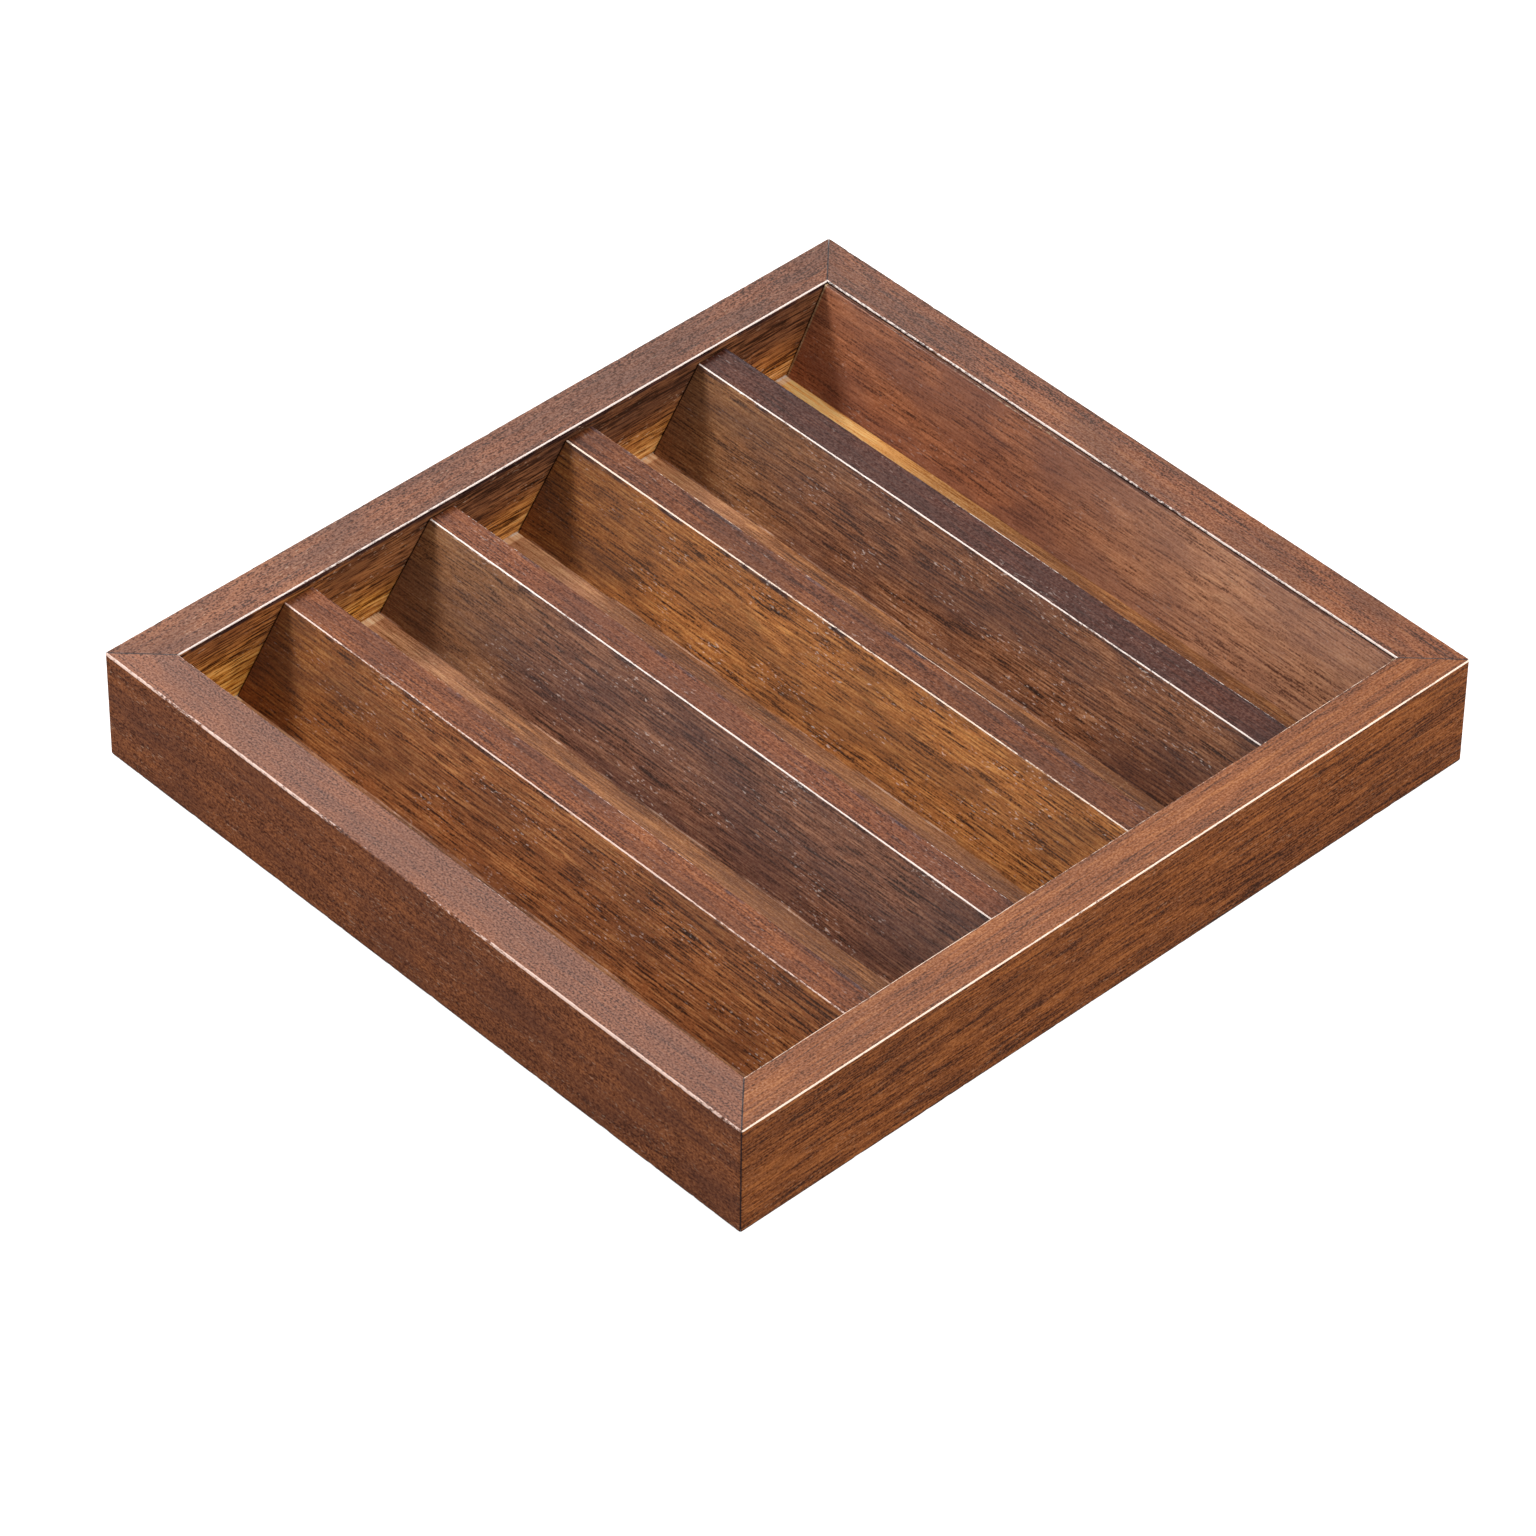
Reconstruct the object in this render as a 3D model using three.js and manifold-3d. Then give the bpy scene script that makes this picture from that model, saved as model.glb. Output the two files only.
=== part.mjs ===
// Open wooden display case for five folding pocket knives.
// Millimetres, +Z up. The origin is at the middle of the underside.
// X runs along the compartments, and Y runs across them from the front rail to the back rail.

import * as THREE from "three";
import { mergeVertices } from "three/addons/utils/BufferGeometryUtils.js";
import Module from "manifold-3d";

const wasm = await Module();
wasm.setup();

// Whole case
const case_length = 200;
const case_width = 214.4;
const case_height = 29;

// Rails
const rail_thickness = 11.3;
const rail_top_ease = 0.9;
const rail_bottom_ease = 1.0;
const glue_line = 0.2;

// Base panel, let into a groove round the inside of the rails
const floor_height = 8.3;
const panel_thickness = 5;
const groove_depth = 4;
const panel_reach = 3.6;
const groove_clearance = 0.25;

// Dividers
const divider_count = 4;
const last_compartment_mouth = 31.6;
const divider_top_width = 8;
const divider_top_drop = 2.2;
const divider_slope_run = 14.2;
// Each divider was planed by hand: how far the front of its top was taken back, as a share of the
// top's width. Its foot stayed where it was.
const divider_planing_shares = [0, 0.13, 0.05, -0.05];
const divider_front_ease = 0.6;
const divider_rear_ease = 0.4;
const moulding_end_gap = 0.2;

// Back rest
const back_rest_top_drop = 0.4;
const back_rest_top_width = 0.8;
const back_rest_slope_run = 11.6;
const back_rest_ease = 0.5;
const back_rest_back_gap = 0.2;
const back_rest_brad_share = 0.35;

// V-nails in the mitres
const v_nail_leg = 5;
const v_nail_thickness = 0.5;
const v_nail_height = 12;
const v_nail_setback = 4.2;
const v_nail_sink = 0.4;
const v_nail_clearance = 0.15;

// Brads through the base panel
const brads_per_moulding = 3;
const brad_spacing = 70;
const brad_shank_diameter = 1.2;
const brad_head_diameter = 2.1;
const brad_head_thickness = 0.8;
const brad_length = 15;
const brad_tip_length = 2;
const brad_clearance = 0.15;
const brad_sides = 12;

// How far a cutting tool runs past the face that it cuts
const cut_overrun = 1;

// Steps in each rounded corner of an outline
const ease_steps = 6;

// Worked out from the sizes above
const last_divider_front = case_width - rail_thickness - last_compartment_mouth - divider_top_width;
const divider_pitch = last_divider_front / divider_count;
const moulding_length = case_length - 2 * (rail_thickness + moulding_end_gap);
const divider_height = case_height - divider_top_drop - floor_height;
const back_rest_height = case_height - back_rest_top_drop - floor_height;
const panel_underside = floor_height - panel_thickness;
const back_rail_inner_face = case_width / 2 - rail_thickness;
const quarter_turn = Math.PI / 2;

// Finishes
const woods = {
  front_rail: { color: "#7a4a35", roughness: 0.5 },
  right_rail: { color: "#6d4127", roughness: 0.45 },
  back_rail: { color: "#5c3d2c", roughness: 0.5 },
  left_rail: { color: "#755036", roughness: 0.5 },
  divider: { color: "#6a3f2a", roughness: 0.45 },
  back_rest: { color: "#5e3823", roughness: 0.45 },
  base_panel: { color: "#7d5632", roughness: 0.6 },
};
const steels = {
  v_nail: { color: "#8d9094", roughness: 0.4 },
  brad: { color: "#a3a5a8", roughness: 0.35 },
};

function woodFinish(name) {
  return new THREE.MeshStandardMaterial({ ...woods[name], metalness: 0 });
}

function steelFinish(name) {
  return new THREE.MeshStandardMaterial({ ...steels[name], metalness: 1 });
}

// Booleans
function solidOf(geometry) {
  const bare = geometry.clone();
  for (const name of Object.keys(bare.attributes)) {
    if (name !== "position") {
      bare.deleteAttribute(name);
    }
  }
  const merged = mergeVertices(bare);
  return new wasm.Manifold(new wasm.Mesh({
    numProp: 3,
    vertProperties: Float32Array.from(merged.attributes.position.array),
    triVerts: Uint32Array.from(merged.index.array),
  }));
}

function geometryOf(solid) {
  const mesh = solid.getMesh();
  const geometry = new THREE.BufferGeometry();
  geometry.setAttribute("position", new THREE.BufferAttribute(mesh.vertProperties, 3));
  geometry.setIndex(new THREE.BufferAttribute(mesh.triVerts, 1));
  geometry.computeVertexNormals();
  return geometry;
}

function cutAway(geometry, cutters) {
  let solid = solidOf(geometry);
  for (const cutter of cutters) {
    solid = solid.subtract(solidOf(cutter));
  }
  return geometryOf(solid);
}

// An outline whose corners are rounded off. Each corner is [x, y, ease], and ease is the length
// of edge that the rounding takes up on either side of the corner.
function easedOutline(corners) {
  const outline = new THREE.Shape();
  const places = corners.map(([x, y]) => new THREE.Vector2(x, y));
  corners.forEach(([, , ease], index) => {
    const corner = places[index];
    const before = places.at(index - 1);
    const after = places[(index + 1) % places.length];
    const start = corner.clone().add(before.clone().sub(corner).setLength(ease));
    const end = corner.clone().add(after.clone().sub(corner).setLength(ease));
    if (index === 0) {
      outline.moveTo(start.x, start.y);
    } else {
      outline.lineTo(start.x, start.y);
    }
    if (ease > 0) {
      outline.quadraticCurveTo(corner.x, corner.y, end.x, end.y);
    }
  });
  outline.closePath();
  return outline;
}

// A moulding with its outline in Y and Z, run along X and centred on X = 0
function runMoulding(outline, length) {
  const geometry = new THREE.ExtrudeGeometry(outline, {
    depth: length,
    bevelEnabled: false,
    curveSegments: ease_steps,
  });
  geometry.translate(0, 0, -length / 2);
  geometry.applyMatrix4(new THREE.Matrix4().makeBasis(
    new THREE.Vector3(0, 1, 0),
    new THREE.Vector3(0, 0, 1),
    new THREE.Vector3(1, 0, 0),
  ));
  return geometry;
}

// One V-nail, or the slot that it sits in. Its corner of the case is at the local origin,
// and its two legs run along the two rails that meet there.
function vNailPrism(clearance) {
  const inner = v_nail_setback + v_nail_thickness / 2 + clearance;
  const outer = v_nail_setback - v_nail_thickness / 2 - clearance;
  const tip = v_nail_setback + v_nail_leg + clearance;
  const outline = new THREE.Shape([
    new THREE.Vector2(outer, outer),
    new THREE.Vector2(tip, outer),
    new THREE.Vector2(tip, inner),
    new THREE.Vector2(inner, inner),
    new THREE.Vector2(inner, tip),
    new THREE.Vector2(outer, tip),
  ]);
  const isSlot = clearance > 0;
  const bottom = isSlot ? -cut_overrun : v_nail_sink;
  const top = v_nail_sink + v_nail_height + clearance;
  const geometry = new THREE.ExtrudeGeometry(outline, { depth: top - bottom, bevelEnabled: false });
  geometry.translate(0, 0, bottom);
  return geometry;
}

// One brad pointing up, or the hole that it fills. The underside of its head is at the local origin.
function bradLathe(clearance) {
  const head_radius = brad_head_diameter / 2 + clearance;
  const shank_radius = brad_shank_diameter / 2 + clearance;
  const isHole = clearance > 0;
  const bottom = isHole ? -cut_overrun : 0;
  const neck = brad_head_thickness + clearance;
  const shoulder = brad_length - brad_tip_length + clearance;
  const profile = [
    new THREE.Vector2(0, bottom),
    new THREE.Vector2(head_radius, bottom),
    new THREE.Vector2(head_radius, neck),
    new THREE.Vector2(shank_radius, neck),
    new THREE.Vector2(shank_radius, shoulder),
    new THREE.Vector2(0, brad_length + 2 * clearance),
  ];
  const geometry = new THREE.LatheGeometry(profile, brad_sides);
  geometry.rotateX(quarter_turn);
  return geometry;
}

// Rails. Each is made as the front rail lies, with its outer face at Y = 0.
function railGeometry(length) {
  const groove_floor = rail_thickness - groove_depth;
  const groove_bottom = panel_underside - groove_clearance;
  const groove_top = floor_height + groove_clearance;
  const geometry = runMoulding(easedOutline([
    [0, 0, rail_bottom_ease],
    [rail_thickness, 0, rail_bottom_ease],
    [rail_thickness, groove_bottom, 0],
    [groove_floor, groove_bottom, 0],
    [groove_floor, groove_top, 0],
    [rail_thickness, groove_top, 0],
    [rail_thickness, case_height, rail_top_ease],
    [0, case_height, rail_top_ease],
  ]), length);

  // Mitre both ends, each drawn back by half the glue line
  const setback = glue_line / 2 / Math.cos(Math.PI / 4);
  const places = geometry.attributes.position;
  for (let index = 0; index < places.count; index += 1) {
    const end = Math.sign(places.getX(index));
    places.setX(index, end * (length / 2 - setback - places.getY(index)));
  }

  const left_slot = vNailPrism(v_nail_clearance).translate(-length / 2, 0, 0);
  const right_slot = vNailPrism(v_nail_clearance).rotateZ(quarter_turn).translate(length / 2, 0, 0);
  return cutAway(geometry, [left_slot, right_slot]);
}

function addRail(parent, name, length, turns, distance) {
  const rail = new THREE.Mesh(railGeometry(length), woodFinish(name));
  rail.name = name;
  rail.position.y = -distance;
  const side = new THREE.Group();
  side.rotation.z = turns * quarter_turn;
  side.add(rail);
  parent.add(side);
}

// Mouldings that the knives lean on
function bradPlaces() {
  const places = [];
  for (let index = 0; index < brads_per_moulding; index += 1) {
    places.push((index - (brads_per_moulding - 1) / 2) * brad_spacing);
  }
  return places;
}

function bradHoles(y) {
  return bradPlaces().map((x) => bradLathe(brad_clearance).translate(x, y, panel_underside));
}

function addMoulding(parent, name, finish, outline, brad_y) {
  const geometry = runMoulding(outline, moulding_length);
  const moulding = new THREE.Mesh(cutAway(geometry, bradHoles(brad_y)), woodFinish(finish));
  moulding.name = name;
  parent.add(moulding);
}

function dividerFront(number) {
  return number * divider_pitch - case_width / 2;
}

function dividerBradLine(number) {
  return dividerFront(number) + (divider_top_width - divider_slope_run) / 2;
}

function addDivider(parent, number) {
  const front = dividerFront(number);
  const planed_front = front + divider_planing_shares[number - 1] * divider_top_width;
  const top = floor_height + divider_height;
  const back = front + divider_top_width;
  addMoulding(parent, `divider_${number}`, "divider", easedOutline([
    [front - divider_slope_run, floor_height, 0],
    [back, floor_height, 0],
    [back, top, divider_rear_ease],
    [planed_front, top, divider_front_ease],
  ]), dividerBradLine(number));
}

const back_rest_back = back_rail_inner_face - back_rest_back_gap;
const back_rest_front = back_rest_back - back_rest_top_width;
const back_rest_depth = back_rest_slope_run + back_rest_top_width;
const back_rest_brad_line = back_rest_back - back_rest_brad_share * back_rest_depth;

function addBackRest(parent) {
  const top = floor_height + back_rest_height;
  addMoulding(parent, "back_rest", "back_rest", easedOutline([
    [back_rest_front - back_rest_slope_run, floor_height, 0],
    [back_rest_back, floor_height, 0],
    [back_rest_back, top, 0],
    [back_rest_front, top, back_rest_ease],
  ]), back_rest_brad_line);
}

function bradLines() {
  const lines = [back_rest_brad_line];
  for (let number = 1; number <= divider_count; number += 1) {
    lines.push(dividerBradLine(number));
  }
  return lines;
}

// Base panel
function addBasePanel(parent) {
  const length = case_length - 2 * (rail_thickness - panel_reach);
  const width = case_width - 2 * (rail_thickness - panel_reach);
  const geometry = new THREE.BoxGeometry(length, width, panel_thickness);
  geometry.translate(0, 0, floor_height - panel_thickness / 2);
  const holes = bradLines().flatMap(bradHoles);
  const panel = new THREE.Mesh(cutAway(geometry, holes), woodFinish("base_panel"));
  panel.name = "base_panel";
  parent.add(panel);
}

// Fasteners
function addVNail(parent, name, corner) {
  const isSide = corner % 2 === 1;
  const half_length = (isSide ? case_width : case_length) / 2;
  const half_width = (isSide ? case_length : case_width) / 2;
  const nail = new THREE.Mesh(vNailPrism(0), steelFinish("v_nail"));
  nail.name = name;
  nail.position.set(-half_length, -half_width, 0);
  const turned = new THREE.Group();
  turned.rotation.z = corner * quarter_turn;
  turned.add(nail);
  parent.add(turned);
}

function addBrads(parent, moulding_name, y) {
  bradPlaces().forEach((x, index) => {
    const brad = new THREE.Mesh(bradLathe(0), steelFinish("brad"));
    brad.name = `${moulding_name}_brad_${index + 1}`;
    brad.position.set(x, y, panel_underside);
    parent.add(brad);
  });
}

const display_case = new THREE.Group();
addRail(display_case, "front_rail", case_length, 0, case_width / 2);
addRail(display_case, "right_rail", case_width, 1, case_length / 2);
addRail(display_case, "back_rail", case_length, 2, case_width / 2);
addRail(display_case, "left_rail", case_width, 3, case_length / 2);
addVNail(display_case, "v_nail_front_left", 0);
addVNail(display_case, "v_nail_front_right", 1);
addVNail(display_case, "v_nail_back_right", 2);
addVNail(display_case, "v_nail_back_left", 3);
addBasePanel(display_case);
for (let number = 1; number <= divider_count; number += 1) {
  addDivider(display_case, number);
  addBrads(display_case, `divider_${number}`, dividerBradLine(number));
}
addBackRest(display_case);
addBrads(display_case, "back_rest", back_rest_brad_line);

export default display_case;
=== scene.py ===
# Finish of an open wooden display case with five sloping compartments.
# Metres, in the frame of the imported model: origin at the middle of the underside, +Z up,
# X along the compartments and Y across them, from the front rail to the back rail.

import math

import bpy
from mathutils import Matrix, Vector


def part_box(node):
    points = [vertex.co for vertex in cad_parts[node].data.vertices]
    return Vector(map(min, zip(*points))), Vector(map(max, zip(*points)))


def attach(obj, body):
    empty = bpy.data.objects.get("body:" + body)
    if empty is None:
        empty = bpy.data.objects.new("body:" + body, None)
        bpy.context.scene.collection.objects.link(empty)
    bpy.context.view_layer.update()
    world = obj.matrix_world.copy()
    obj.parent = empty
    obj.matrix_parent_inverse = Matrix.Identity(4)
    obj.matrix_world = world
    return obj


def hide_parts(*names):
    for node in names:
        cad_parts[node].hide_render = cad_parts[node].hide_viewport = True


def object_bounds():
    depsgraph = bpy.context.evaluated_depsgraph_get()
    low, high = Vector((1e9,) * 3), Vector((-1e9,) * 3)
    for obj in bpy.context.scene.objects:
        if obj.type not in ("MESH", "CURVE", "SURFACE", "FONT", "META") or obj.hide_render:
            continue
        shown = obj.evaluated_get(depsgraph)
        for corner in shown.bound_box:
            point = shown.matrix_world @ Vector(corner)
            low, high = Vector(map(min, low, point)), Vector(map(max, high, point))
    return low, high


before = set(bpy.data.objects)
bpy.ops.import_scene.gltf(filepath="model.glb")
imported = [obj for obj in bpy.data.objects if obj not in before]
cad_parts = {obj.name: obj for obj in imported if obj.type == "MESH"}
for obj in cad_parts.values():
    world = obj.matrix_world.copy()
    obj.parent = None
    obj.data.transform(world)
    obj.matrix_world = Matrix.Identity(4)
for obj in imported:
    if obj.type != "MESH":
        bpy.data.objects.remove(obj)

cad_low, cad_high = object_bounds()
mm = 0.001

# Camera
# A long lens from high over the front right corner, at the photograph's viewing angle.
camera_azimuth = math.radians(46.27)
camera_elevation = math.radians(41.64)
camera_roll = math.radians(0.76)
camera_place = Vector((0.92326, -0.88870, 1.13616))
camera_lens = 184.98
camera_sensor = 36

camera_data = bpy.data.cameras.new("camera")
camera_data.sensor_width = camera_sensor
camera_data.lens = camera_lens
camera = bpy.data.objects.new("camera", camera_data)
bpy.context.scene.collection.objects.link(camera)
camera.matrix_world = (
    Matrix.Translation(camera_place)
    @ Matrix.Rotation(camera_azimuth, 4, "Z")
    @ Matrix.Rotation(math.pi / 2 - camera_elevation, 4, "X")
    @ Matrix.Rotation(camera_roll, 4, "Z")
)
bpy.context.scene.camera = camera


# Rails
# Four solid rails of stained hardwood, mitred and glued at the corners. A groove inside holds the
# base panel, and a saw slot across each mitre, underneath, holds a V-nail. The long edges are
# eased with sandpaper, the corners are sanded round after gluing, and handling has worn both.
# The pale lines along the eased edges are partly that wear and partly a painted highlight.

def add_node(tree, kind, inputs=None, **settings):
    """Adds a node. Each input is linked where it is given a socket, and set where it is given a value."""
    node = tree.nodes.new(kind)
    for setting, value in settings.items():
        setattr(node, setting, value)
    for key, value in (inputs or {}).items():
        if isinstance(value, bpy.types.NodeSocket):
            tree.links.new(value, node.inputs[key])
        else:
            node.inputs[key].default_value = value
    return node


def calculate(tree, operation, *values):
    """The result of one Math node."""
    return add_node(tree, "ShaderNodeMath", dict(enumerate(values)), operation=operation).outputs[0]


def calculate_vector(tree, operation, *values):
    """The result of one Vector Math node."""
    node = add_node(tree, "ShaderNodeVectorMath", dict(enumerate(values)), operation=operation)
    return node.outputs[0]


def join_axes(tree, x, y, z):
    """A vector made of three values."""
    return add_node(tree, "ShaderNodeCombineXYZ", {"X": x, "Y": y, "Z": z}).outputs[0]


def part_axes(tree, vector):
    """The three values of a vector."""
    return add_node(tree, "ShaderNodeSeparateXYZ", {0: vector}).outputs


def spread(tree, value, low, high):
    """The value's rise from 0 at low to 1 at high, held at 0 and 1 beyond them, with soft ends."""
    node = add_node(tree, "ShaderNodeMapRange", interpolation_type="SMOOTHSTEP",
                    inputs={"Value": value, "From Min": low, "From Max": high})
    return node.outputs[0]


def noise(tree, place, sizes, detail=2.0, rough=0.5):
    """Noise whose lumps have the given size along each axis, in the units of place."""
    shrink = Vector((1 / sizes[0], 1 / sizes[1], 1 / sizes[2]))
    where = calculate_vector(tree, "MULTIPLY", place, shrink)
    node = add_node(tree, "ShaderNodeTexNoise",
                    {"Vector": where, "Scale": 1.0, "Detail": detail, "Roughness": rough})
    return node.outputs[0]


def mix_colours(tree, amount, first, second):
    """The first colour where the amount is 0, and the second where it is 1."""
    return add_node(tree, "ShaderNodeMix", {0: amount, 6: first, 7: second}, data_type="RGBA").outputs[2]


def start_tree(name, kind, inputs, outputs):
    """A node tree with named inputs and outputs, and the sockets that its own nodes start from."""
    tree = bpy.data.node_groups.new(name, kind)
    for title, (socket_type, value) in inputs.items():
        socket = tree.interface.new_socket(title, in_out="INPUT", socket_type=f"NodeSocket{socket_type}")
        if value is not None:
            socket.default_value = value
    for title, socket_type in outputs.items():
        tree.interface.new_socket(title, in_out="OUTPUT", socket_type=f"NodeSocket{socket_type}")
    return tree, tree.nodes.new("NodeGroupInput").outputs, tree.nodes.new("NodeGroupOutput").inputs


def make_piece(name, tree, values):
    """Runs a shape's tree with a piece's own values, and keeps the result as a plain mesh."""
    piece = bpy.data.objects.new(name, bpy.data.meshes.new(name))
    bpy.context.scene.collection.objects.link(piece)
    modifier = piece.modifiers.new("shape", "NODES")
    modifier.node_group = tree
    for socket in tree.interface.items_tree:
        if socket.in_out == "INPUT" and socket.name in values:
            modifier[socket.identifier] = values[socket.name]
    seen = bpy.context.evaluated_depsgraph_get()
    piece.data = bpy.data.meshes.new_from_object(piece.evaluated_get(seen))
    piece.modifiers.clear()
    return piece


def new_material(name):
    """A material with nodes, its tree and the shader in it."""
    material = bpy.data.materials.new(name)
    material.use_nodes = True
    return material, material.node_tree, material.node_tree.nodes["Principled BSDF"]


# Stained wood. Its place is in millimetres, with the grain along X.
wood_inputs = {
    "Place": ("Vector", None),
    "Deep": ("Color", (0.05, 0.02, 0.01, 1)),
    "Middle": ("Color", (0.15, 0.06, 0.03, 1)),
    "Pale": ("Color", (0.3, 0.15, 0.08, 1)),
    "Shade": ("Color", (0.09, 0.05, 0.045, 1)),
    "Glint": ("Color", (0.6, 0.45, 0.35, 1)),
    "Bands": ("Float", 0.3),
    "Streaks": ("Float", 0.5),
    "Fibres": ("Float", 0.3),
    "Speckle": ("Float", 0.2),
    "Blotches": ("Float", 0.4),
    "Pores": ("Float", 0.5),
    "Glints": ("Float", 0.3),
    "Seed": ("Float", 0.0),
}
wood_outputs = {"Colour": "Color", "Roughness": "Float", "Height": "Float", "Sheen": "Float"}
wood, given, result = start_tree("stained_wood", "ShaderNodeTree", wood_inputs, wood_outputs)
apart = 173.0
offset = calculate(wood, "MULTIPLY", given["Seed"], apart)
place = calculate_vector(wood, "ADD", given["Place"], join_axes(wood, offset, offset, offset))

bands = spread(wood, noise(wood, place, (70, 3.6, 3.6), 3, 0.55), 0.3, 0.7)
streaks = spread(wood, noise(wood, place, (18, 0.75, 0.75), 3, 0.6), 0.3, 0.7)
fibres = spread(wood, noise(wood, place, (8, 0.36, 0.36), 2, 0.55), 0.3, 0.7)
speckle = spread(wood, noise(wood, place, (0.6, 0.42, 0.42), 2, 0.6), 0.3, 0.7)
blotches = spread(wood, noise(wood, place, (24, 9, 9), 3, 0.5), 0.34, 0.66)
pores = spread(wood, noise(wood, place, (4.4, 0.3, 0.3), 1, 0.5), 0.53, 0.68)
# Painted glints: small pale dashes in the grain where the lamps catch the finish
glints = calculate(
    wood, "MULTIPLY", spread(wood, noise(wood, place, (1.3, 0.42, 0.42), 1, 0.5), 0.62, 0.74),
    spread(wood, noise(wood, place, (16, 5, 5), 2, 0.5), 0.48, 0.62))

tone = 0.5
for pattern, strength in ((bands, "Bands"), (streaks, "Streaks"), (fibres, "Fibres"), (speckle, "Speckle")):
    centred = calculate(wood, "SUBTRACT", pattern, 0.5)
    tone = calculate(wood, "MULTIPLY_ADD", centred, given[strength], tone)
colour = mix_colours(wood, spread(wood, tone, 0.1, 0.5), given["Deep"], given["Middle"])
colour = mix_colours(wood, spread(wood, tone, 0.5, 0.95), colour, given["Pale"])
for pattern, strength, tint in (
        (blotches, "Blotches", "Shade"), (pores, "Pores", "Deep"), (glints, "Glints", "Glint")):
    amount = calculate(wood, "MULTIPLY", pattern, given[strength])
    colour = mix_colours(wood, amount, colour, given[tint])
wood.links.new(colour, result["Colour"])
smooth = calculate(wood, "MULTIPLY_ADD", streaks, -0.08, 0.46)
wood.links.new(calculate(wood, "MULTIPLY_ADD", pores, 0.2, smooth), result["Roughness"])
wood.links.new(calculate(wood, "MULTIPLY_ADD", speckle, 0.9, 0.55), result["Sheen"])
sunk = calculate(wood, "MULTIPLY", pores, -0.6)
wood.links.new(calculate(wood, "MULTIPLY_ADD", fibres, 0.3, sunk), result["Height"])

# Worn edges, with a painted highlight. The wear is 0 on the faces, and on a rounded edge it says how
# much is rubbed through. The pale colour it brings in is partly bare wood and partly a painted highlight.
worn_and_highlit_inputs = {
    "Place": ("Vector", None),
    "Colour": ("Color", (0.15, 0.06, 0.03, 1)),
    "Worn and highlight": ("Color", (0.6, 0.42, 0.33, 1)),
    "Wear": ("Float", 0.0),
}
worn_and_highlit, given, result = start_tree("worn_and_highlit_edge", "ShaderNodeTree", worn_and_highlit_inputs, {"Colour": "Color"})
breaks = noise(worn_and_highlit, given["Place"], (1.3, 0.5, 0.5), 5, 0.75)
stretches = noise(worn_and_highlit, given["Place"], (42, 20, 20), 1, 0.5)
lifted = calculate(worn_and_highlit, "MULTIPLY_ADD", calculate(worn_and_highlit, "SUBTRACT", breaks, 0.5), 2.8, given["Wear"])
lifted = calculate(worn_and_highlit, "MULTIPLY_ADD", calculate(worn_and_highlit, "SUBTRACT", stretches, 0.5), 2.2, lifted)
mask = calculate(worn_and_highlit, "MULTIPLY", spread(worn_and_highlit, lifted, 0.3, 0.7), spread(worn_and_highlit, given["Wear"], 0.0, 0.15))
worn_and_highlit.links.new(mix_colours(worn_and_highlit, mask, given["Colour"], given["Worn and highlight"]), result["Colour"])


def from_srgb(red, green, blue):
    """A colour for a shader from its 0 to 255 values on screen."""
    linear = [((c / 255 + 0.055) / 1.055) ** 2.4 if c > 10 else c / 255 / 12.92 for c in (red, green, blue)]
    return (*linear, 1)


def stain(deep, middle, pale, shade=None):
    """The tones of a look, from their 0 to 255 values on screen."""
    tones = {"Deep": from_srgb(*deep), "Middle": from_srgb(*middle), "Pale": from_srgb(*pale)}
    if shade:
        tones["Shade"] = from_srgb(*shade)
    return tones


# A rule says where a look takes over: it adds its nodes, and gives a value from 0 to 1.
def on_top(tree, where):
    """1 on faces that look up, and 0 on the slopes and the sides."""
    facing = part_axes(tree, add_node(tree, "ShaderNodeNewGeometry").outputs["Normal"])[2]
    return spread(tree, facing, 0.75, 0.95)


def uneven_strip(axis, edge, width, stretch=5 * mm, breaks=(0.42, 0.58)):
    """A rule for a strip beside a straight edge, above it where width is positive and below it where
    it is negative, in stretches of about the given size. With breaks at 0 it is unbroken."""
    def rule(tree, where):
        near = spread(tree, part_axes(tree, where)[axis], edge + width, edge + 0.7 * width)
        if breaks[1] <= 0:
            return near
        broken = spread(tree, noise(tree, where, (stretch, stretch, stretch), 2, 0.5), *breaks)
        return calculate(tree, "MULTIPLY", near, broken)
    return rule


def rising(axis, low, high):
    """A rule that is 0 below the first place along an axis, and rises to 1 at the second."""
    def rule(tree, where):
        return spread(tree, part_axes(tree, where)[axis], low, high)
    return rule


def together(*rules):
    """A rule that multiplies the given ones, so it is 1 only where each of them is 1."""
    def rule(tree, where):
        amount = rules[0](tree, where)
        for other in rules[1:]:
            amount = calculate(tree, "MULTIPLY", amount, other(tree, where))
        return amount
    return rule


# Pale colours of the eased edges: bare wood where the finish is rubbed through, and a painted highlight
# where the lamps catch the edges.
worn_and_highlit_white = from_srgb(250, 232, 222)
worn_and_highlit_pink = from_srgb(240, 206, 190)
worn_and_highlit_cream = from_srgb(250, 222, 200)


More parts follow.
